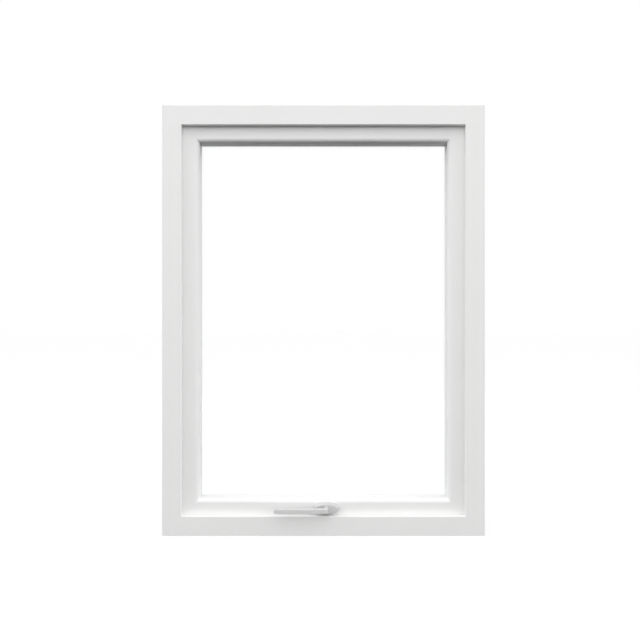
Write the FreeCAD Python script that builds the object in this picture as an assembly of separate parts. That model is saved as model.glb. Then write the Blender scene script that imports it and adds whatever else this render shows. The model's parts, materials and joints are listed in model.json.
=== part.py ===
"""Top hung awning window in painted timber, with a double glazed sash that opens outward.

All lengths are in millimetres. The origin is the centre of the sill's underside.
X runs to the right as seen from inside, Y runs outward and Z runs up.
A depth is measured outward from the inner face of the frame.
"""
import FreeCAD, Part
import math
import os

from FreeCAD import Vector

# Outer frame
window_width = 900.0
window_height = 1200.0
frame_face = 53.5
stop_depth = 15.0
floor_thickness = 32.0
sill_fall = 6.0
frame_arris = 0.8
opening_arris = 1.0

# Sash
sash_depth = 53.5
sash_gap = 9.0
seal_gap = 1.5
stile_width = 58.0
rail_width = 55.5
lip_depth = 13.0
lip_round = 11.0
glazing_rebate = 14.0
sash_arris = 1.5

# Glazing
pane_thickness = 4.0
cavity = 16.0
glass_clearance = 4.0
glazing_seal = 2.0
glazing_seal_width = 8.0
glazing_seal_inset = 0.3
spacer_inset = 2.0
spacer_width = 7.0
bead_setback = 1.0
bead_nose = 3.0
bead_flat = 8.0
block_length = 100.0
block_inset = 85.0

# Weather seal on the frame's stop
frame_seal_width = 5.0
frame_seal_inset = 4.0
frame_seal_clearance = 0.3
frame_seal_groove = 4.0

# Hinges on the outer face
hinge_inset = 170.0
hinge_length = 70.0
leaf_height = 31.0
leaf_thickness = 2.5
knuckle_radius = 5.0
knuckle_stand_off = 0.5
knuckle_clearance = 0.4
hinge_pin_radius = 2.5
pin_clearance = 0.05
pin_head_radius = 3.6
pin_head_length = 2.0

# Opening stays in the side gaps
stay_length = 300.0
stay_slope = 0.06
stay_width = 14.0
stay_thickness = 3.0
stay_air = 1.0
stay_travel = 45.0
stud_radius = 4.0
stud_head_radius = 6.0
stud_head_length = 1.0
stud_head_air = 0.2
slide_pin_radius = 3.0
slide_clearance = 0.2
bracket_thickness = 2.0
bracket_height = 60.0
bracket_width = 20.0
track_width = 12.0
track_depth = 9.0
track_floor = 2.0
track_end = 16.0
slide_pin_air = 1.0

# Handle on the bottom rail
handle_x = 8.0
handle_height = 76.0
rosette_length = 72.0
rosette_height = 33.0
rosette_depth = 14.0
rosette_drop = 3.0
rosette_round = 6.0
socket_depth = 5.0
neck_radius = 5.5
stem_air = 0.5
neck_clearance = 0.1
lever_length = 145.5
lever_height = 12.0
lever_thickness = 13.0
lever_stem = 12.0
lever_reach = 36.0
lever_round = 1.5
elbow_outer = 14.0
elbow_inner = 5.0
spindle_width = 6.0
spindle_length = 24.0
spindle_bore_radius = 4.4

# Lock faceplate in the sash's bottom edge
faceplate_length = 420.0
faceplate_width = 16.0
faceplate_thickness = 2.5

# Fixing holes through the jambs
fixing_radius = 4.0
fixing_height = 200.0

# Sizes that follow from the ones above
half_width = window_width / 2
frame_depth = stop_depth + seal_gap + sash_depth
sash_face = stop_depth + seal_gap
floor_x = half_width - floor_thickness
sash_x = floor_x - sash_gap
sash_bottom = floor_thickness + sash_gap
sash_top = window_height - floor_thickness - sash_gap
sight_x = sash_x - stile_width
sight_bottom = sash_bottom + rail_width
sight_top = sash_top - rail_width
inner_seal_depth = sash_face + lip_depth
inner_pane_depth = inner_seal_depth + glazing_seal
cavity_depth = inner_pane_depth + pane_thickness
outer_pane_depth = cavity_depth + cavity
outer_seal_depth = outer_pane_depth + pane_thickness
bead_depth = outer_seal_depth + glazing_seal
bead_face = frame_depth - bead_setback
glass_cover = glazing_rebate - glass_clearance


def at(x, depth, z):
    """A point given by its depth from the frame's inner face."""
    return Vector(x, depth - frame_depth / 2, z)


def block(x0, x1, depth0, depth1, z0, z1):
    """A plain box between two corners."""
    return Part.makeBox(x1 - x0, depth1 - depth0, z1 - z0, at(x0, depth0, z0))


def ring(reach_x, bottom, top, width, depth0, depth1):
    """A rectangular ring of even width, drawn outward from an inner rectangle."""
    outer = block(-reach_x - width, reach_x + width, depth0, depth1, bottom - width, top + width)
    inner = block(-reach_x, reach_x, depth0, depth1, bottom, top)
    return outer.cut(inner)


def closed_face(edges):
    """A flat face inside a chain of edges."""
    return Part.Face(Part.Wire(edges))


def profile_face(points, arc_start, place):
    """A face through (across, depth) points, with one round corner.

    The corner goes from the point numbered arc_start through the next point to the one after it.
    """
    edges = []
    count = len(points)
    number = 0
    while number < count:
        here = place(*points[number])
        after = place(*points[(number + 1) % count])
        if number == arc_start:
            end = place(*points[(number + 2) % count])
            edges.append(Part.Arc(here, after, end).toShape())
            number += 2
        else:
            edges.append(Part.LineSegment(here, after).toShape())
            number += 1
    return closed_face(edges)


def round_corner(edge, face_depth, radius):
    """Three (across, depth) points of a quarter round between an inner face and a side."""
    inset = radius * (1 - math.cos(math.pi / 4))
    return [
        (edge - radius, face_depth),
        (edge - inset, face_depth + inset),
        (edge, face_depth + radius),
    ]


def frame_profile(floor_fall):
    """Section of a frame member, from the outer edge inward."""
    return [
        (0, 0),
        *round_corner(frame_face, 0, opening_arris),
        (frame_face, stop_depth),
        (floor_thickness, stop_depth),
        (floor_thickness - floor_fall, frame_depth),
        (0, frame_depth),
    ]


def sash_profile(width):
    """Section of a sash member, from the sash's outer edge inward."""
    return [
        (0, sash_face),
        *round_corner(width, sash_face, lip_round),
        (width, inner_seal_depth),
        (width - glazing_rebate, inner_seal_depth),
        (width - glazing_rebate, frame_depth),
        (0, frame_depth),
    ]


def upright(points, edge_x, side, bottom, top):
    """A member that runs up the left (-1) or right (1) side."""
    face = profile_face(points, 1, lambda across, depth: at(side * (edge_x - across), depth, bottom))
    return face.extrude(Vector(0, 0, top - bottom))


def crossbar(points, edge_z, inward, reach_x):
    """A member that runs across, with its section drawn up (1) or down (-1) from its edge."""
    face = profile_face(points, 1, lambda across, depth: at(-reach_x, depth, edge_z + inward * across))
    return face.extrude(Vector(2 * reach_x, 0, 0))


def eased_box(reach_x, depth0, depth1, bottom, top, radius):
    """The outer envelope of a frame or sash, with eased edges."""
    box = block(-reach_x, reach_x, depth0, depth1, bottom, top)
    return box.makeFillet(radius, box.Edges)


def along_y(radius, x, depth0, depth1, z):
    """A cylinder that runs outward."""
    return Part.makeCylinder(radius, depth1 - depth0, at(x, depth0, z), Vector(0, 1, 0))


def along_x(radius, x0, x1, depth, z):
    """A cylinder that runs across."""
    low = min(x0, x1)
    return Part.makeCylinder(radius, abs(x1 - x0), at(low, depth, z), Vector(1, 0, 0))


# Fixing holes run through the rebate floors of the jambs, halfway along the sash's depth
fixing_depth = sash_face + sash_depth / 2
fixing_heights = (fixing_height, window_height - fixing_height)


def frame_seal():
    """Weather seal in a groove in the back of the stop, all round the opening."""
    edge = frame_face - frame_seal_inset
    return ring(
        half_width - edge,
        edge,
        window_height - edge,
        frame_seal_width,
        stop_depth - frame_seal_groove,
        sash_face - frame_seal_clearance,
    )


def frame_members():
    """Two full height jambs, with the head and sill scribed between them."""
    envelope = eased_box(half_width, 0, frame_depth, 0, window_height, frame_arris)
    groove = frame_seal()
    jambs = {}
    for name, side in (("left", -1), ("right", 1)):
        jambs[name] = upright(frame_profile(0), half_width, side, 0, window_height)
    head = crossbar(frame_profile(0), window_height, -1, half_width)
    sill = crossbar(frame_profile(sill_fall), 0, 1, half_width)
    pieces = {
        "frame_head": head.cut(jambs["left"]).cut(jambs["right"]).common(envelope).cut(groove),
        "frame_sill": sill.cut(jambs["left"]).cut(jambs["right"]).common(envelope).cut(groove),
    }
    for name, jamb in jambs.items():
        solid = jamb.common(envelope).cut(groove)
        for z in fixing_heights:
            solid = solid.cut(along_x(fixing_radius, -window_width, window_width, fixing_depth, z))
        pieces["frame_%s_jamb" % name] = solid
    return pieces


# Hinge axis, in the middle of the gap over the sash and just proud of the outer face
hinge_depth = frame_depth + knuckle_stand_off + knuckle_radius
hinge_height = sash_top + sash_gap / 2
knuckle_length = (hinge_length - 2 * knuckle_clearance) / 3


def knuckle_spans(x):
    """The three stretches along a hinge that its knuckles take."""
    start = x - hinge_length / 2
    step = knuckle_length + knuckle_clearance
    return [(start + number * step, start + number * step + knuckle_length) for number in range(3)]


def knuckle(x0, x1, direction):
    """One knuckle with the strap that ties it to a leaf above (1) or below (-1) the axis."""
    barrel = along_x(knuckle_radius, x0, x1, hinge_depth, hinge_height)
    strap_end = hinge_height + direction * leaf_height / 2
    low = min(hinge_height, strap_end)
    high = max(hinge_height, strap_end)
    strap = block(x0, x1, frame_depth, frame_depth + leaf_thickness, low, high)
    bore = along_x(hinge_pin_radius + pin_clearance, x0, x1, hinge_depth, hinge_height)
    return barrel.fuse(strap).cut(bore)


def hinge_leaf(x, direction, spans):
    """A leaf screwed to an outer face, with knuckles over the given stretches."""
    near = hinge_height + direction * (knuckle_radius + knuckle_stand_off)
    far = hinge_height + direction * leaf_height
    plate = block(
        x - hinge_length / 2,
        x + hinge_length / 2,
        frame_depth,
        frame_depth + leaf_thickness,
        min(near, far),
        max(near, far),
    )
    for x0, x1 in spans:
        plate = plate.fuse(knuckle(x0, x1, direction))
    return plate.removeSplitter()


def hinge_pin(x):
    """Hinge pin with a small head past each end of the knuckles."""
    end = hinge_length / 2 + knuckle_clearance
    pin = along_x(hinge_pin_radius, x - end, x + end, hinge_depth, hinge_height)
    for side in (-1, 1):
        start = x + side * end
        head = along_x(pin_head_radius, start, start + side * pin_head_length, hinge_depth, hinge_height)
        pin = pin.fuse(head)
    return pin.removeSplitter()


# A stay, its pivot and its track lie on one line through the hinge axis, tilted slightly inward.
# The pivot is one stay length from the axis, so the stay turns twice as far as the sash.
stay_tilt = math.atan(stay_slope)
track_start = 2 * stay_length * math.cos(math.radians(stay_travel)) - track_end
track_stop = 2 * stay_length + track_end
arm_outer_x = floor_x - bracket_thickness - stay_air
arm_inner_x = arm_outer_x - stay_thickness
track_inner_x = sash_x - track_depth


def on_stay_line(distance, x):
    """A point at a distance from the hinge axis along the stay's line."""
    depth = hinge_depth - distance * math.sin(stay_tilt)
    return at(x, depth, hinge_height - distance * math.cos(stay_tilt))


def bar_on_stay_line(side, x0, x1, start, stop, width):
    """A square ended bar that follows the stay's line."""
    low = min(side * x0, side * x1)
    bar = Part.makeBox(abs(x1 - x0), width, stop - start, Vector(low, -width / 2, -stop))
    bar.rotate(Vector(0, 0, 0), Vector(1, 0, 0), -math.degrees(stay_tilt))
    bar.translate(at(0, hinge_depth, hinge_height))
    return bar


def rod_on_stay_line(side, radius, distance, x0, x1):
    """A rod across the gap, at a distance along the stay's line."""
    low = min(side * x0, side * x1)
    return Part.makeCylinder(radius, abs(x1 - x0), on_stay_line(distance, low), Vector(1, 0, 0))


def stay_bracket(side):
    """Plate on the jamb with the stud that a stay turns on."""
    half = bracket_height / 2
    plate_x = floor_x - bracket_thickness
    plate = bar_on_stay_line(side, plate_x, floor_x, stay_length - half, stay_length + half, bracket_width)
    head_x = arm_inner_x - stud_head_air
    stud = rod_on_stay_line(side, stud_radius, stay_length, head_x, plate_x)
    head = rod_on_stay_line(side, stud_head_radius, stay_length, head_x - stud_head_length, head_x)
    return plate.fuse(stud).fuse(head).removeSplitter()


def stay_arm(side):
    """Flat arm with round ends, a pivot hole and the pin that slides in the sash's track."""
    arm = bar_on_stay_line(side, arm_inner_x, arm_outer_x, stay_length, 2 * stay_length, stay_width)
    for distance in (stay_length, 2 * stay_length):
        arm = arm.fuse(rod_on_stay_line(side, stay_width / 2, distance, arm_inner_x, arm_outer_x))
    hole = rod_on_stay_line(side, stud_radius + pin_clearance, stay_length, arm_inner_x, arm_outer_x)
    pin_end = track_inner_x + track_floor + slide_pin_air
    pin = rod_on_stay_line(side, slide_pin_radius, 2 * stay_length, pin_end, arm_inner_x)
    return arm.cut(hole).fuse(pin).removeSplitter()


def track_blank(side):
    """The space that a track takes up in a stile's edge."""
    return bar_on_stay_line(side, track_inner_x, sash_x, track_start, track_stop, track_width)


def stay_track(side):
    """Channel let into the stile's edge, open towards the jamb."""
    slot_half = slide_pin_radius + slide_clearance
    first = track_start + track_end
    last = track_stop - track_end
    floor = track_inner_x + track_floor
    slot = bar_on_stay_line(side, floor, sash_x, first, last, 2 * slot_half)
    for distance in (first, last):
        slot = slot.fuse(rod_on_stay_line(side, slot_half, distance, floor, sash_x))
    return track_blank(side).cut(slot)


def lock_faceplate():
    """Plate of the lock, flush in the sash's bottom edge."""
    depth = sash_face + sash_depth / 2
    return block(
        handle_x - faceplate_length / 2,
        handle_x + faceplate_length / 2,
        depth - faceplate_width / 2,
        depth + faceplate_width / 2,
        sash_bottom,
        sash_bottom + faceplate_thickness,
    )


def sash_members():
    """Two full height stiles, with the rails scribed between them."""
    envelope = eased_box(sash_x, sash_face, frame_depth, sash_bottom, sash_top, sash_arris)
    stiles = {}
    for name, side in (("left", -1), ("right", 1)):
        stiles[name] = upright(sash_profile(stile_width), sash_x, side, sash_bottom, sash_top)
    rail = sash_profile(rail_width)
    top = crossbar(rail, sash_top, -1, sash_x).cut(stiles["left"]).cut(stiles["right"])
    bottom = crossbar(rail, sash_bottom, 1, sash_x).cut(stiles["left"]).cut(stiles["right"])
    spindle_end = sash_face + spindle_length
    bore = along_y(spindle_bore_radius, handle_x, sash_face, spindle_end, handle_height)
    return {
        "sash_top_rail": top.common(envelope),
        "sash_bottom_rail": bottom.common(envelope).cut(bore).cut(lock_faceplate()),
        "sash_left_stile": stiles["left"].common(envelope).cut(track_blank(-1)),
        "sash_right_stile": stiles["right"].common(envelope).cut(track_blank(1)),
    }


def pane(depth):
    """One pane of the sealed unit."""
    return block(
        -sight_x - glass_cover,
        sight_x + glass_cover,
        depth,
        depth + pane_thickness,
        sight_bottom - glass_cover,
        sight_top + glass_cover,
    )


def glazing_spacer():
    """Spacer bar between the panes, just inside their edges."""
    inset = glass_cover - spacer_inset - spacer_width
    return ring(
        sight_x + inset,
        sight_bottom - inset,
        sight_top + inset,
        spacer_width,
        cavity_depth,
        outer_pane_depth,
    )


def glazing_tape(depth):
    """Glazing seal against one face of the sealed unit."""
    return ring(
        sight_x + glazing_seal_inset,
        sight_bottom - glazing_seal_inset,
        sight_top + glazing_seal_inset,
        glazing_seal_width,
        depth,
        depth + glazing_seal,
    )


def setting_blocks():
    """Two blocks on the bottom rail that carry the sealed unit."""
    floor = sight_bottom - glazing_rebate
    solids = []
    for side in (-1, 1):
        middle = side * (sight_x + glass_cover - block_inset - block_length / 2)
        solids.append(
            block(
                middle - block_length / 2,
                middle + block_length / 2,
                inner_pane_depth,
                outer_seal_depth,
                floor,
                floor + glass_clearance,
            )
        )
    return Part.makeCompound(solids)


def bead_profile(place):
    """Section of a glazing bead, from the sight line outward, sloped to shed water."""
    corners = [
        (0, bead_depth),
        (glazing_rebate, bead_depth),
        (glazing_rebate, bead_face),
        (glazing_rebate - bead_flat, bead_face),
        (0, bead_depth + bead_nose),
    ]
    points = [place(across, depth) for across, depth in corners]
    return Part.Face(Part.makePolygon(points + points[:1]))


def mitre_wedge(inner, outer):
    """The stretch of a bead ring that lies between two mitre cuts."""
    corners = [inner[0], outer[0], outer[1], inner[1]]
    points = [at(x, bead_depth, z) for x, z in corners]
    return Part.Face(Part.makePolygon(points + points[:1])).extrude(Vector(0, bead_face - bead_depth, 0))


def glazing_beads():
    """Four mitred beads that hold the sealed unit from outside."""
    wall_x = sight_x + glazing_rebate
    low = sight_bottom - glazing_rebate
    high = sight_top + glazing_rebate
    inner = {"bl": (-sight_x, sight_bottom), "br": (sight_x, sight_bottom)}
    inner.update({"tl": (-sight_x, sight_top), "tr": (sight_x, sight_top)})
    outer = {"bl": (-wall_x, low), "br": (wall_x, low), "tl": (-wall_x, high), "tr": (wall_x, high)}
    ends = {"top": ("tl", "tr"), "bottom": ("bl", "br"), "left": ("bl", "tl"), "right": ("br", "tr")}
    bars = {
        "top": bead_profile(lambda across, depth: at(-wall_x, depth, sight_top + across)),
        "bottom": bead_profile(lambda across, depth: at(-wall_x, depth, sight_bottom - across)),
        "left": bead_profile(lambda across, depth: at(-sight_x - across, depth, low)),
        "right": bead_profile(lambda across, depth: at(sight_x + across, depth, low)),
    }
    pieces = {}
    for name, (first, second) in ends.items():
        sweep = Vector(2 * wall_x, 0, 0) if name in ("top", "bottom") else Vector(0, 0, high - low)
        wedge = mitre_wedge((inner[first], inner[second]), (outer[first], outer[second]))
        pieces["glazing_bead_%s" % name] = bars[name].extrude(sweep).common(wedge)
    return pieces


# The lever's middle stands lever_reach in from the sash's face.
# Its stem ends just short of the rosette, and its neck ends in the rosette's socket.
lever_middle = sash_face - lever_reach
neck_end = sash_face - socket_depth
stem_end = sash_face - rosette_depth - stem_air
neck_start = stem_end - neck_radius


def handle_rosette():
    """Oval boss on the bottom rail that the handle turns in, with a well rounded front rim."""
    middle = at(handle_x, sash_face, handle_height - rosette_drop)
    front = Vector(0, -rosette_depth, 0)
    side = middle + Vector(rosette_length / 2, 0, 0)
    top = middle + Vector(0, 0, rosette_height / 2)
    boss = closed_face([Part.Ellipse(side, top, middle).toShape()]).extrude(front)
    rim = [edge for edge in boss.Edges if edge.BoundBox.YMax < (middle + front).y + neck_clearance]
    boss = boss.makeFillet(rosette_round, rim)
    socket = along_y(neck_radius + neck_clearance, handle_x, neck_start, neck_end, handle_height)
    drive = along_y(spindle_bore_radius, handle_x, neck_start, sash_face, handle_height)
    return boss.cut(socket).cut(drive)


def lever_plan(z):
    """The lever and its stem from above: a straight grip with a round tip, and an elbow."""
    front = lever_middle - lever_thickness / 2
    back = lever_middle + lever_thickness / 2
    tip = handle_x - lever_length
    grip = tip + lever_thickness / 2
    right = handle_x + lever_stem / 2
    left = handle_x - lever_stem / 2
    slant = math.cos(math.pi / 4)
    bulge = elbow_outer * (1 - slant)
    hollow = elbow_inner * (1 - slant)
    ends = {
        "grip_front": at(grip, front, z),
        "elbow_front": at(right - elbow_outer, front, z),
        "elbow_corner": at(right - bulge, front + bulge, z),
        "elbow_side": at(right, front + elbow_outer, z),
        "stem_right": at(right, stem_end, z),
        "stem_left": at(left, stem_end, z),
        "inside_side": at(left, back + elbow_inner, z),
        "inside_corner": at(left - hollow, back + hollow, z),
        "inside_back": at(left - elbow_inner, back, z),
        "grip_back": at(grip, back, z),
        "tip": at(tip, lever_middle, z),
    }

    def line(first, second):
        return Part.LineSegment(ends[first], ends[second]).toShape()

    def arc(first, middle, last):
        return Part.Arc(ends[first], ends[middle], ends[last]).toShape()

    return closed_face(
        [
            line("grip_front", "elbow_front"),
            arc("elbow_front", "elbow_corner", "elbow_side"),
            line("elbow_side", "stem_right"),
            line("stem_right", "stem_left"),
            line("stem_left", "inside_side"),
            arc("inside_side", "inside_corner", "inside_back"),
            line("inside_back", "grip_back"),
            arc("grip_back", "tip", "grip_front"),
        ]
    )


def handle_lever():
    """Lever with an elbow and a round neck, which turns in the rosette."""
    low = handle_height - lever_height / 2
    bar = lever_plan(low).extrude(Vector(0, 0, lever_height))
    stem_y = at(0, stem_end, 0).y
    rims = []
    for edge in bar.Edges:
        level = abs(edge.Vertexes[0].Point.z - edge.Vertexes[-1].Point.z) < neck_clearance
        at_neck = all(abs(vertex.Point.y - stem_y) < neck_clearance for vertex in edge.Vertexes)
        if level and not at_neck:
            rims.append(edge)
    bar = bar.makeFillet(lever_round, rims)
    neck = along_y(neck_radius, handle_x, neck_start, neck_end - neck_clearance, handle_height)
    return bar.fuse(neck).removeSplitter()


def handle_spindle():
    """Square spindle from the neck into the lock in the bottom rail."""
    half = spindle_width / 2
    return block(
        handle_x - half,
        handle_x + half,
        neck_end - neck_clearance,
        sash_face + spindle_length - neck_clearance,
        handle_height - half,
        handle_height + half,
    )


def all_pieces():
    """Every sub-part by its name."""
    pieces = {}
    pieces.update(frame_members())
    pieces["frame_seal"] = frame_seal()
    pieces.update(sash_members())
    pieces["inner_pane"] = pane(inner_pane_depth)
    pieces["outer_pane"] = pane(outer_pane_depth)
    pieces["glazing_spacer"] = glazing_spacer()
    pieces["inner_glazing_seal"] = glazing_tape(inner_seal_depth)
    pieces["outer_glazing_seal"] = glazing_tape(outer_seal_depth)
    pieces["setting_blocks"] = setting_blocks()
    pieces.update(glazing_beads())
    pieces["lock_faceplate"] = lock_faceplate()
    pieces["handle_rosette"] = handle_rosette()
    pieces["handle_lever"] = handle_lever()
    pieces["handle_spindle"] = handle_spindle()
    for name, side in (("left", -1), ("right", 1)):
        x = side * (half_width - hinge_inset)
        outer_one, middle, outer_two = knuckle_spans(x)
        pieces[name + "_hinge_frame_leaf"] = hinge_leaf(x, 1, [middle])
        pieces[name + "_hinge_sash_leaf"] = hinge_leaf(x, -1, [outer_one, outer_two])
        pieces[name + "_hinge_pin"] = hinge_pin(x)
        pieces[name + "_stay_bracket"] = stay_bracket(side)
        pieces[name + "_stay_arm"] = stay_arm(side)
        pieces[name + "_stay_track"] = stay_track(side)
    return pieces


os.makedirs("parts", exist_ok=True)
for node, shape in all_pieces().items():
    shape.exportStep("parts/%s.step" % node)
    print(node, len(shape.Solids), shape.isValid(), round(shape.Volume / 1000, 2), "cm3")
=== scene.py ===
"""Looks of the top hung awning window: paint, glass, metal, small hardware, light and camera."""
import json
import math

import bmesh
import bpy
from mathutils import Matrix, Vector


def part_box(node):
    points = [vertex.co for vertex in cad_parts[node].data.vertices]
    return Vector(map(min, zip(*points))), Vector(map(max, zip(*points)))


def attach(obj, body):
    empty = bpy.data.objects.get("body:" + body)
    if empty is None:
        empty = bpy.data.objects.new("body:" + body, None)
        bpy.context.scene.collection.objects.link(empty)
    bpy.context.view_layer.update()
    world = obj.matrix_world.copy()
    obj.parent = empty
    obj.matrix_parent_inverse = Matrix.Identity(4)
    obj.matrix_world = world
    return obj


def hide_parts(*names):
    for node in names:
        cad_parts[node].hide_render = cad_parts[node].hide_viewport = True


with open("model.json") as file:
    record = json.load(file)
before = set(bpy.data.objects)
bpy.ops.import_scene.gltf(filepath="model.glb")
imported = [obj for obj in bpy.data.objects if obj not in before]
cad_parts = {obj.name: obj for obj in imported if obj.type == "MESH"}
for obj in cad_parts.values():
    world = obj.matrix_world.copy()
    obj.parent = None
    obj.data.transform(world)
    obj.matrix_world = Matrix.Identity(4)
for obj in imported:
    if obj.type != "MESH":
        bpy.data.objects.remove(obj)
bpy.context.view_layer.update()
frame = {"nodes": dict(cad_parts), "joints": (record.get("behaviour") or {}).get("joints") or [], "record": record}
nodes = frame["nodes"]
scene = bpy.context.scene
scene.view_settings.view_transform = "Standard"

MM = 0.001
SIDES = (("left", -1), ("right", 1))

# Where the window's outer edges lie in the photograph, in its pixels
PHOTO_SIDE = 640.0
PHOTO_WIDTH = 323.0
PHOTO_CENTRE_X = 323.45
PHOTO_CENTRE_Y = 320.53

# Camera: its lens and sensor in millimetres, and the nearest and farthest that it sees in metres
LENS = 30.0
SENSOR = 36.0
CLIP_NEAR = 0.05
CLIP_FAR = 100.0

# Sky strength, as (all round, more towards the sides), and how softly it changes outward and at the horizon
SKY_INDOORS = (0.63, 2.62)
SKY_OUTDOORS = (0.5, 1.4)
SKY_TURN = 0.3
SKY_EDGE = 0.02

# Lamps, as (name, watts, place, aim, size), in metres
LAMPS = (
    ("high_lamp", 36.0, (0.0, -1.8, 4.4), (0.0, 0.0, 0.6), (4.0, 2.4)),
    ("indoor_fill", 14.0, (0.0, -2.6, 1.8), (0.0, 0.0, 0.6), (3.0, 1.2)),
    ("outdoor_fill", 12.0, (0.0, 2.6, 0.7), (0.0, 0.0, 0.6), (3.0, 1.6)),
)

# Floor: the glow and the shade that the eye sees, the shade that light bounces off, and its reach in metres
FLOOR_GLOW = 0.8
FLOOR_SEEN = 0.18
FLOOR_BOUNCE = 0.08
FLOOR_REACH = 30.0

# Colours, as (darker, lighter) where they vary
PAINT_SHADES = ((0.845, 0.845, 0.84), (0.875, 0.875, 0.87))
RUBBER_SHADES = ((0.83, 0.83, 0.82), (0.87, 0.87, 0.86))
PLASTIC_SHADES = ((0.045, 0.045, 0.05), (0.065, 0.065, 0.07))
SPACER_WHITE = (0.88, 0.88, 0.88)
# Painted shade: the near-black colour of the spacer's holes stands in for the shade inside them
HOLE_PAINTED_SHADE = (0.12, 0.12, 0.12)
GLASS_BODY = (0.999, 1.0, 0.9995)
GLASS_SHADOW = (0.985, 0.992, 0.99)
METAL_DARK_SHARE = 0.95

# Gloss: roughness as (smoothest, roughest), and how light bends and mirrors
PAINT_ROUGHNESS = (0.36, 0.46)
SPACER_ROUGHNESS = (0.4, 0.5)
RUBBER_ROUGHNESS = (0.6, 0.75)
PLASTIC_ROUGHNESS = (0.45, 0.6)
METAL_ROUGHNESS_SPREAD = 0.06
PAINT_SPECULAR = 0.35
GLASS_IOR = 1.5
LACQUER_IOR = 1.7
LACQUER_ROUGHNESS = 0.12

# Metals, as (colour, how metallic, roughness, lacquer)
METALS = {
    "handle_metal": ((0.61, 0.61, 0.61), 0.15, 0.4, 1.0),
    "plated_steel": ((0.45, 0.45, 0.44), 0.6, 0.36, 0.0),
    "screw_steel": ((0.58, 0.58, 0.57), 0.7, 0.3, 0.0),
}

# Textures: even ones as (lumps in a metre, detail), streaks as (along, across, detail, roughness)
PAINT_CLOUD = (7.0, 3.0)
PAINT_FILM = (900.0, 2.0)
METAL_CLOUD = (60.0, 3.0)
SPACER_FILM = (600.0, 2.0)
RUBBER_BLOOM = (220.0, 3.0)
PLASTIC_GRAIN = (700.0, 2.0)
TIMBER_GRAIN = (4.0, 130.0, 3.0, 0.6)
BRUSH_LINES = (40.0, 2500.0, 2.0, 0.5)
BRUSH_AXIS = "X"

# Bumps, as (depth in millimetres, strength)
TIMBER_BUMP = (0.16, 0.5)
PAINT_BUMP = (0.03, 0.3)
BRUSH_BUMP = (0.01, 0.4)
HOLE_BUMP = (0.3, 0.5)
SPACER_BUMP = (0.02, 0.2)
RUBBER_BUMP = (0.03, 0.3)
PLASTIC_BUMP = (0.04, 0.3)

# Holes along the spacer bar between the panes, in millimetres
HOLE_STEP = 4.5
HOLE_ROW = 3.0
HOLE_RADIUS = 0.6

# Nodes whose grain runs upright, by a part of their names
UPRIGHTS = ("jamb", "stile", "bead_left", "bead_right")

# Edges of new pieces that turn by more than this stay crisp
SHARP_ANGLE = math.radians(32.0)

# Screws: rings of a head as (radius, depth, crown) shares, from the tip to the top, the turn from one screw
# to the next in radians, and the cross recess in shares of the radius
SCREW_SIDES = 32
SCREW_PROFILE = (
    (0.35, -0.9, 0.0),
    (1.0, -0.03, 0.0),
    (1.0, 0.0, 0.1),
    (0.93, 0.0, 0.5),
    (0.8, 0.0, 0.85),
    (0.64, 0.0, 1.0),
)
SCREW_TURN = 0.75
CROSS_ARMS = 4
CROSS_REACH = 0.5
CROSS_WIDTH = 0.13
CROSS_TAPER = 0.7
CROSS_DEPTH = 0.4

# Places of the screws, in millimetres
LEAF_THICKNESS = 2.5
LEAF_SCREW_INSET = 12.5
LEAF_SCREW_STEP = 24.0
LEAF_SCREW_STAGGER = 6.0
LEAF_SCREW_RADIUS = 3.8
LEAF_SCREW_CROWN = 0.7
BRACKET_THICKNESS = 2.0
BRACKET_SCREW_STEP = 22.0
STAY_SCREW_RADIUS = 3.4
STAY_SCREW_CROWN = 0.3
TRACK_SCREW_INSET = 8.0
TRACK_SCREW_RADIUS = 2.6
FACEPLATE_SCREW_INSET = 14.0

# Weather seal on the frame's stop, in millimetres
SEAL_GAP = 1.5
SEAL_WIDTH = 5.0
SEAL_FOOT = 3.8
SEAL_LIP = 3.2
SEAL_LIP_RISE = 0.35
SEAL_LIP_TIP = 0.45
SEAL_LIP_ROOT = 0.6
SEAL_BULB = 1.2
SEAL_BULB_STEPS = 10

# Sealant outside the outer pane, in millimetres
SEALANT_WIDTH = 8.0
SEALANT_DEPTH = 2.0
FILLET_REACH = 1.7
FILLET_STEPS = 6

# Sockets of a mix node by number, because those for values and for colours share their names
MIX_FACTOR = 0
MIX_VALUES = (2, 3)
MIX_VALUE_RESULT = 0
MIX_COLOURS = (6, 7)
MIX_COLOUR_RESULT = 2


def new_material(name):
    """A material with a bare Principled shader, as (material, tree, shader)."""
    material = bpy.data.materials.new(name)
    material.use_nodes = True
    tree = material.node_tree
    tree.nodes.clear()
    shader = tree.nodes.new("ShaderNodeBsdfPrincipled")
    output = tree.nodes.new("ShaderNodeOutputMaterial")
    tree.links.new(shader.outputs["BSDF"], output.inputs["Surface"])
    return material, tree, shader


def noise(tree, stretch, scale, detail, roughness=0.5):
    """The value of a noise texture in the window's own frame, stretched along each axis."""
    place = tree.nodes.new("ShaderNodeTexCoord")
    mapping = tree.nodes.new("ShaderNodeMapping")
    mapping.inputs["Scale"].default_value = stretch
    tree.links.new(place.outputs["Object"], mapping.inputs["Vector"])
    texture = tree.nodes.new("ShaderNodeTexNoise")
    texture.inputs["Scale"].default_value = scale
    texture.inputs["Detail"].default_value = detail
    texture.inputs["Roughness"].default_value = roughness
    tree.links.new(mapping.outputs["Vector"], texture.inputs["Vector"])
    return texture.outputs["Fac"]


def even_noise(tree, scale, detail):
    """Noise of the same size along each axis."""
    return noise(tree, (1.0, 1.0, 1.0), scale, detail)


def streaks(tree, axis, along, across, detail, roughness):
    """Noise that is drawn out along one axis."""
    stretch = tuple(along if name == axis else across for name in "XYZ")
    return noise(tree, stretch, 1.0, detail, roughness)


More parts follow.
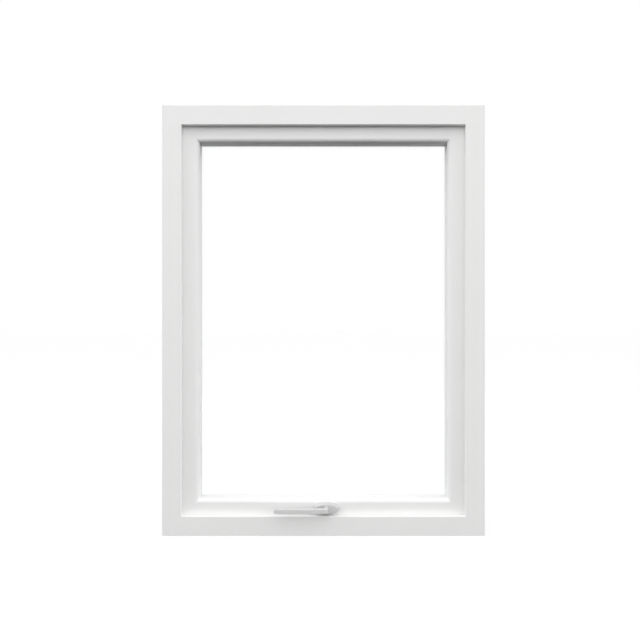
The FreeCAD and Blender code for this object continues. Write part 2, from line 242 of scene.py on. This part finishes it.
def remap(tree, value, low, high, span=(0.0, 1.0)):
    """A value within a span, spread between two others."""
    spread = tree.nodes.new("ShaderNodeMapRange")
    spread.inputs["From Min"].default_value = span[0]
    spread.inputs["From Max"].default_value = span[1]
    spread.inputs["To Min"].default_value = low
    spread.inputs["To Max"].default_value = high
    tree.links.new(value, spread.inputs["Value"])
    return spread.outputs["Result"]


def calculate(tree, operation, first, second):
    """The result of an operation on two values, each a number or a node's output."""
    node = tree.nodes.new("ShaderNodeMath")
    node.operation = operation
    for socket, value in zip(node.inputs, (first, second)):
        if isinstance(value, float):
            socket.default_value = value
        else:
            tree.links.new(value, socket)
    return node.outputs["Value"]


def tint(tree, value, low, high):
    """A colour that runs between two others."""
    mix = tree.nodes.new("ShaderNodeMix")
    mix.data_type = "RGBA"
    for socket, colour in zip(MIX_COLOURS, (low, high)):
        mix.inputs[socket].default_value = (*colour, 1.0)
    tree.links.new(value, mix.inputs[MIX_FACTOR])
    return mix.outputs[MIX_COLOUR_RESULT]


def bump(tree, height, depth, strength, before=None):
    """A bump from a height, on top of an earlier one."""
    node = tree.nodes.new("ShaderNodeBump")
    node.inputs["Distance"].default_value = depth * MM
    node.inputs["Strength"].default_value = strength
    tree.links.new(height, node.inputs["Height"])
    if before is not None:
        tree.links.new(before, node.inputs["Normal"])
    return node.outputs["Normal"]


def paint_material(name, grain_axis):
    """Satin white paint on planed timber, with the grain along one axis just showing through."""
    material, tree, shader = new_material(name)
    grain = streaks(tree, grain_axis, *TIMBER_GRAIN)
    film = even_noise(tree, *PAINT_FILM)
    cloud = even_noise(tree, *PAINT_CLOUD)
    tree.links.new(tint(tree, cloud, *PAINT_SHADES), shader.inputs["Base Color"])
    tree.links.new(remap(tree, cloud, *PAINT_ROUGHNESS), shader.inputs["Roughness"])
    timber = bump(tree, grain, *TIMBER_BUMP)
    tree.links.new(bump(tree, film, *PAINT_BUMP, timber), shader.inputs["Normal"])
    shader.inputs["Specular IOR Level"].default_value = PAINT_SPECULAR
    return material


def glass_material():
    """Clear float glass that lets light through to what is behind it."""
    material, tree, shader = new_material("clear_glass")
    shader.inputs["Base Color"].default_value = (*GLASS_BODY, 1.0)
    shader.inputs["Roughness"].default_value = 0.0
    shader.inputs["IOR"].default_value = GLASS_IOR
    shader.inputs["Transmission Weight"].default_value = 1.0
    clear = tree.nodes.new("ShaderNodeBsdfTransparent")
    clear.inputs["Color"].default_value = (*GLASS_SHADOW, 1.0)
    path = tree.nodes.new("ShaderNodeLightPath")
    light = calculate(tree, "MAXIMUM", path.outputs["Is Shadow Ray"], path.outputs["Is Diffuse Ray"])
    mix = tree.nodes.new("ShaderNodeMixShader")
    tree.links.new(light, mix.inputs["Fac"])
    tree.links.new(shader.outputs["BSDF"], mix.inputs[1])
    tree.links.new(clear.outputs["BSDF"], mix.inputs[2])
    output = tree.nodes["Material Output"]
    tree.links.new(mix.outputs["Shader"], output.inputs["Surface"])
    return material


def metal_material(name):
    """Metal with fine brush lines along one axis, bare or under a clear lacquer."""
    colour, metallic, roughness, lacquer = METALS[name]
    material, tree, shader = new_material(name)
    lines = streaks(tree, BRUSH_AXIS, *BRUSH_LINES)
    cloud = even_noise(tree, *METAL_CLOUD)
    dark = tuple(value * METAL_DARK_SHARE for value in colour)
    tree.links.new(tint(tree, cloud, dark, colour), shader.inputs["Base Color"])
    shader.inputs["Metallic"].default_value = metallic
    smoothest = roughness - METAL_ROUGHNESS_SPREAD
    roughest = roughness + METAL_ROUGHNESS_SPREAD
    tree.links.new(remap(tree, lines, smoothest, roughest), shader.inputs["Roughness"])
    tree.links.new(bump(tree, lines, *BRUSH_BUMP), shader.inputs["Normal"])
    shader.inputs["Coat Weight"].default_value = lacquer
    shader.inputs["Coat IOR"].default_value = LACQUER_IOR
    shader.inputs["Coat Roughness"].default_value = LACQUER_ROUGHNESS
    return material


def spacer_material():
    """White lacquered bar with two rows of small holes along it, each dented by a bump and painted near-black as
    painted shade inside the hole.
    """
    material, tree, shader = new_material("spacer_metal")
    place = tree.nodes.new("ShaderNodeTexCoord")
    split = tree.nodes.new("ShaderNodeSeparateXYZ")
    tree.links.new(place.outputs["Object"], split.inputs["Vector"])
    low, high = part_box("glazing_spacer")
    along = calculate(tree, "ADD", split.outputs["X"], split.outputs["Z"])
    along = calculate(tree, "PINGPONG", along, HOLE_STEP * MM / 2)
    depth = calculate(tree, "SUBTRACT", split.outputs["Y"], (low.y + high.y) / 2)
    row = calculate(tree, "SUBTRACT", calculate(tree, "ABSOLUTE", depth, 0.0), HOLE_ROW * MM)
    squares = [calculate(tree, "MULTIPLY", value, value) for value in (along, row)]
    hole_shade_and_dent = calculate(tree, "LESS_THAN", calculate(tree, "ADD", *squares), (HOLE_RADIUS * MM) ** 2)
    # The mask marks each hole: it paints the hole near-black as painted shade and also dents it with a bump
    tree.links.new(tint(tree, hole_shade_and_dent, SPACER_WHITE, HOLE_PAINTED_SHADE), shader.inputs["Base Color"])
    film = even_noise(tree, *SPACER_FILM)
    tree.links.new(remap(tree, film, *SPACER_ROUGHNESS), shader.inputs["Roughness"])
    dents = bump(tree, calculate(tree, "SUBTRACT", 1.0, hole_shade_and_dent), *HOLE_BUMP)
    tree.links.new(bump(tree, film, *SPACER_BUMP, dents), shader.inputs["Normal"])
    return material


def moulded_material(name, texture, shades, roughness, relief):
    """Rubber or plastic with one fine texture in its colour, gloss and bump."""
    material, tree, shader = new_material(name)
    grain = even_noise(tree, *texture)
    tree.links.new(tint(tree, grain, *shades), shader.inputs["Base Color"])
    tree.links.new(remap(tree, grain, *roughness), shader.inputs["Roughness"])
    tree.links.new(bump(tree, grain, *relief), shader.inputs["Normal"])
    return material


def rubber_material():
    """Matte off-white rubber with a fine bloom."""
    return moulded_material("seal_rubber", RUBBER_BLOOM, RUBBER_SHADES, RUBBER_ROUGHNESS, RUBBER_BUMP)


def plastic_material():
    """Dark moulded plastic with a light grain."""
    return moulded_material("block_plastic", PLASTIC_GRAIN, PLASTIC_SHADES, PLASTIC_ROUGHNESS, PLASTIC_BUMP)


paint_upright = paint_material("paint_upright", "Z")
paint_across = paint_material("paint_across", "X")
screw_steel = metal_material("screw_steel")
seal_rubber = rubber_material()
slot_materials = {
    "clear_glass": glass_material(),
    "seal_rubber": seal_rubber,
    "spacer_metal": spacer_material(),
    "block_plastic": plastic_material(),
    "handle_metal": metal_material("handle_metal"),
    "plated_steel": metal_material("plated_steel"),
}

# Where the joints turn, which places the hinges and stays
axes = {joint["name"]: Vector(joint["pos_m"]) for joint in frame["joints"]}


def dress_nodes():
    """Each node's material, by its slot and by which way its grain runs."""
    for part in frame["record"]["subparts"]:
        name = part["node"]
        slot = part["material_slot"]
        if slot == "painted_timber":
            upright = any(word in name for word in UPRIGHTS)
            material = paint_upright if upright else paint_across
        else:
            material = slot_materials[slot]
        mesh = nodes[name].data
        mesh.materials.clear()
        mesh.materials.append(material)


def band(mesh, ring, following):
    """Adds a closed band of faces between two rings of vertices."""
    count = len(ring)
    for number in range(count):
        after = (number + 1) % count
        mesh.faces.new((ring[number], ring[after], following[after], following[number]))


def finish_piece(name, mesh, body, material):
    """A new piece from a mesh, with crisp edges, that moves with a body."""
    bmesh.ops.recalc_face_normals(mesh, faces=mesh.faces)
    data = bpy.data.meshes.new(name)
    mesh.to_mesh(data)
    mesh.free()
    data.materials.append(material)
    data.polygons.foreach_set("use_smooth", [True] * len(data.polygons))
    data.set_sharp_from_angle(angle=SHARP_ANGLE)
    piece = bpy.data.objects.new(name, data)
    scene.collection.objects.link(piece)
    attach(piece, body)
    return piece


def screw(mesh, place, facing, radius, crown, turn):
    """Adds a raised countersunk screw with a cross recess. Its rim's middle is at the place."""
    stand = facing.to_track_quat("Z", "Y").to_matrix() @ Matrix.Rotation(turn, 3, "Z")

    def vertex(x, y, z):
        return mesh.verts.new(place + stand @ Vector((x, y, z)))

    def circle(size, height):
        angles = [2 * math.pi * number / SCREW_SIDES for number in range(SCREW_SIDES)]
        return [vertex(size * math.cos(angle), size * math.sin(angle), height) for angle in angles]

    def cross(reach, width, height):
        arm = ((reach, -width), (reach, width), (width, width))
        corners = []
        for number in range(CROSS_ARMS):
            spin = Matrix.Rotation(2 * math.pi * number / CROSS_ARMS, 2)
            corners += [spin @ Vector(point) for point in arm]
        return [vertex(corner.x, corner.y, height) for corner in corners]

    def edges(loop):
        return [mesh.edges.get((loop[number - 1], loop[number])) for number in range(len(loop))]

    rings = [circle(radius * size, radius * depth + crown * rise) for size, depth, rise in SCREW_PROFILE]
    mesh.faces.new(rings[0])
    for lower, upper in zip(rings, rings[1:]):
        band(mesh, lower, upper)
    reach = CROSS_REACH * radius
    width = CROSS_WIDTH * radius
    mouth = cross(reach, width, crown)
    floor = cross(CROSS_TAPER * reach, CROSS_TAPER * width, crown - CROSS_DEPTH * radius)
    band(mesh, floor, mouth)
    bmesh.ops.triangle_fill(mesh, edges=edges(rings[-1]) + edges(mouth), use_beauty=True, normal=facing)
    step = len(floor) // CROSS_ARMS
    mesh.faces.new(floor[step - 1::step])
    for start in range(0, len(floor), step):
        mesh.faces.new([floor[start + number] for number in range(-1, step)])


def screws(name, body, places, facing, radius, crown):
    """A row of like screws as one piece, each turned a little further than the last."""
    mesh = bmesh.new()
    for number, place in enumerate(places):
        screw(mesh, place, Vector(facing), radius * MM, crown * MM, number * SCREW_TURN)
    finish_piece(name, mesh, body, screw_steel)


def hinge_screws(side):
    """Three staggered screws in each leaf of a hinge."""
    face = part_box("sash_top_rail")[1].y + LEAF_THICKNESS * MM
    stagger = LEAF_SCREW_STAGGER / 2
    for leaf, body, up in (("frame_leaf", "frame", 1), ("sash_leaf", "sash", -1)):
        node = "%s_hinge_%s" % (side, leaf)
        low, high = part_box(node)
        edge = high.z if up > 0 else low.z
        places = []
        for number in (-1, 0, 1):
            inset = LEAF_SCREW_INSET + (stagger if number else -stagger)
            middle = (low.x + high.x) / 2 + number * LEAF_SCREW_STEP * MM
            places.append(Vector((middle, face, edge - up * inset * MM)))
        screws(node + "_screws", body, places, (0, 1, 0), LEAF_SCREW_RADIUS, LEAF_SCREW_CROWN)


def stay_screws(side, sign):
    """Two flat screws in a stay's bracket, and one at each end of its track."""
    hinge = axes["sash_swing"]
    pivot = axes["%s_stay_swing" % side]
    line = Vector((0.0, pivot.y - hinge.y, pivot.z - hinge.z)).normalized()
    bracket = "%s_stay_bracket" % side
    low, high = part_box(bracket)
    plate = (high.x if sign > 0 else low.x) - sign * BRACKET_THICKNESS * MM
    middle = Vector((plate, pivot.y, pivot.z))
    places = [middle + line * step * BRACKET_SCREW_STEP * MM for step in (-1, 1)]
    screws(bracket + "_screws", "frame", places, (-sign, 0, 0), STAY_SCREW_RADIUS, STAY_SCREW_CROWN)
    track = "%s_stay_track" % side
    low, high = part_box(track)
    edge = high.x if sign > 0 else low.x
    places = []
    for height in (low.z + TRACK_SCREW_INSET * MM, high.z - TRACK_SCREW_INSET * MM):
        distance = (height - hinge.z) / line.z
        places.append(Vector((edge, hinge.y + line.y * distance, height)))
    screws(track + "_screws", "sash", places, (sign, 0, 0), TRACK_SCREW_RADIUS, STAY_SCREW_CROWN)


def faceplate_screws():
    """Four screws, evenly spaced along the lock's faceplate."""
    low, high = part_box("lock_faceplate")
    middle = (low + high) / 2
    reach = (high.x - low.x) / 2 - FACEPLATE_SCREW_INSET * MM
    places = [Vector((middle.x + share * reach, middle.y, low.z)) for share in (-1, -1 / 3, 1 / 3, 1)]
    screws("lock_faceplate_screws", "sash", places, (0, 0, -1), STAY_SCREW_RADIUS, STAY_SCREW_CROWN)


def ring_piece(name, node, section, width, depth, body):
    """A strip with mitred corners in place of a node's plain ring.

    The section's (outward, proud) points start from the ring's inner edge and from a depth.
    """
    low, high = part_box(node)
    mesh = bmesh.new()
    rings = []
    for outward, proud in section:
        grow = (outward - width) * MM
        left, right = low.x - grow, high.x + grow
        bottom, top = low.z - grow, high.z + grow
        corners = ((left, bottom), (right, bottom), (right, top), (left, top))
        rings.append([mesh.verts.new((x, depth + proud * MM, z)) for x, z in corners])
    for ring, following in zip(rings, rings[1:] + rings[:1]):
        band(mesh, ring, following)
    piece = finish_piece(name, mesh, body, seal_rubber)
    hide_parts(node)


def weather_seal():
    """Soft seal round the frame's stop: a foot in its groove, a bulb and a thin lip."""
    section = [(0.0, -SEAL_FOOT), (0.0, 0.0)]
    section += [(-SEAL_LIP, SEAL_LIP_RISE), (-SEAL_LIP, SEAL_LIP_RISE + SEAL_LIP_TIP), (0.0, SEAL_LIP_ROOT)]
    for number in range(1, SEAL_BULB_STEPS):
        angle = math.pi * number / SEAL_BULB_STEPS
        across = SEAL_WIDTH * (1 - math.cos(angle)) / 2
        section.append((across, SEAL_LIP_ROOT + (SEAL_BULB - SEAL_LIP_ROOT) * math.sin(angle)))
    section += [(SEAL_WIDTH, SEAL_LIP_ROOT), (SEAL_WIDTH, -SEAL_FOOT)]
    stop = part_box("sash_top_rail")[0].y - SEAL_GAP * MM
    ring_piece("weather_seal", "frame_seal", section, SEAL_WIDTH, stop, "frame")


def glazing_sealant():
    """Sealant between the outer pane and its beads, tooled to a hollow fillet."""
    section = []
    for number in range(FILLET_STEPS + 1):
        angle = math.pi / 2 * number / FILLET_STEPS
        section.append((FILLET_REACH * math.cos(angle), SEALANT_DEPTH * math.sin(angle)))
    section += [(SEALANT_WIDTH, SEALANT_DEPTH), (SEALANT_WIDTH, 0.0)]
    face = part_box("outer_pane")[1].y
    ring_piece("glazing_sealant", "outer_glazing_seal", section, SEALANT_WIDTH, face, "sash")


def seen_directly(tree):
    """1 for rays that the eye follows straight, in a mirror or through glass."""
    path = tree.nodes.new("ShaderNodeLightPath")
    total = path.outputs["Is Camera Ray"]
    for name in ("Is Glossy Ray", "Is Transmission Ray"):
        total = calculate(tree, "MAXIMUM", total, path.outputs[name])
    return total


def pale_floor():
    """A white floor that keeps a soft shadow and sends little light back up."""
    mesh = bpy.data.meshes.new("floor")
    corners = ((-1, -1), (1, -1), (1, 1), (-1, 1))
    mesh.from_pydata([(x * FLOOR_REACH, y * FLOOR_REACH, 0.0) for x, y in corners], [], [(0, 1, 2, 3)])
    floor = bpy.data.objects.new("floor", mesh)
    scene.collection.objects.link(floor)
    material, tree, shader = new_material("floor")
    mesh.materials.append(material)
    seen = seen_directly(tree)
    shade = tint(tree, seen, (FLOOR_BOUNCE,) * 3, (FLOOR_SEEN,) * 3)
    tree.links.new(shade, shader.inputs["Base Color"])
    shader.inputs["Roughness"].default_value = 1.0
    shader.inputs["Specular IOR Level"].default_value = 0.0
    shader.inputs["Emission Color"].default_value = (1.0, 1.0, 1.0, 1.0)
    tree.links.new(remap(tree, seen, 0.0, FLOOR_GLOW), shader.inputs["Emission Strength"])


def soft_sky():
    """A sky that is brighter indoors and towards the sides, and white to the eye."""
    world = bpy.data.worlds.new("studio")
    scene.world = world
    world.use_nodes = True
    tree = world.node_tree
    place = tree.nodes.new("ShaderNodeTexCoord")
    split = tree.nodes.new("ShaderNodeSeparateXYZ")
    tree.links.new(place.outputs["Generated"], split.inputs["Vector"])
    level, sides = (
        remap(tree, split.outputs["Y"], indoors, outdoors, (-SKY_TURN, SKY_TURN))
        for indoors, outdoors in zip(SKY_INDOORS, SKY_OUTDOORS))
    across = calculate(tree, "MULTIPLY", split.outputs["X"], split.outputs["X"])
    level = calculate(tree, "ADD", level, calculate(tree, "MULTIPLY", across, sides))
    above = remap(tree, split.outputs["Z"], 0.0, 1.0, (-SKY_EDGE, SKY_EDGE))
    level = calculate(tree, "MULTIPLY", level, above)
    mix = tree.nodes.new("ShaderNodeMix")
    lit, white = (mix.inputs[number] for number in MIX_VALUES)
    tree.links.new(seen_directly(tree), mix.inputs[MIX_FACTOR])
    tree.links.new(level, lit)
    white.default_value = 1.0
    tree.links.new(mix.outputs[MIX_VALUE_RESULT], tree.nodes["Background"].inputs["Color"])


def lamps():
    """Wide soft lamps, which neither the eye nor a reflection sees as shapes."""
    for name, watts, place, aim, size in LAMPS:
        data = bpy.data.lights.new(name, "AREA")
        data.shape = "RECTANGLE"
        data.size, data.size_y = size
        data.energy = watts
        lamp = bpy.data.objects.new(name, data)
        lamp.location = place
        lamp.rotation_euler = (Vector(aim) - lamp.location).to_track_quat("-Z", "Y").to_euler()
        lamp.visible_camera = False
        lamp.visible_glossy = False
        lamp.visible_transmission = False
        scene.collection.objects.link(lamp)


def camera():
    """A level camera that puts the window's edges where the photograph has them."""
    low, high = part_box("frame_left_jamb")
    right_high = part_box("frame_right_jamb")[1]
    per_pixel = (right_high.x - low.x) / PHOTO_WIDTH
    distance = per_pixel * PHOTO_SIDE * LENS / SENSOR
    data = bpy.data.cameras.new("camera")
    data.lens = LENS
    data.sensor_width = SENSOR
    data.clip_start = CLIP_NEAR
    data.clip_end = CLIP_FAR
    eye = bpy.data.objects.new("camera", data)
    eye.location = (
        -(PHOTO_CENTRE_X - PHOTO_SIDE / 2) * per_pixel,
        low.y - distance,
        (low.z + high.z) / 2 + (PHOTO_CENTRE_Y - PHOTO_SIDE / 2) * per_pixel,
    )
    eye.rotation_euler = (math.pi / 2, 0.0, 0.0)
    scene.collection.objects.link(eye)
    scene.camera = eye


dress_nodes()
for side_name, side_sign in SIDES:
    hinge_screws(side_name)
    stay_screws(side_name, side_sign)
faceplate_screws()
weather_seal()
glazing_sealant()
pale_floor()
soft_sky()
lamps()
camera()
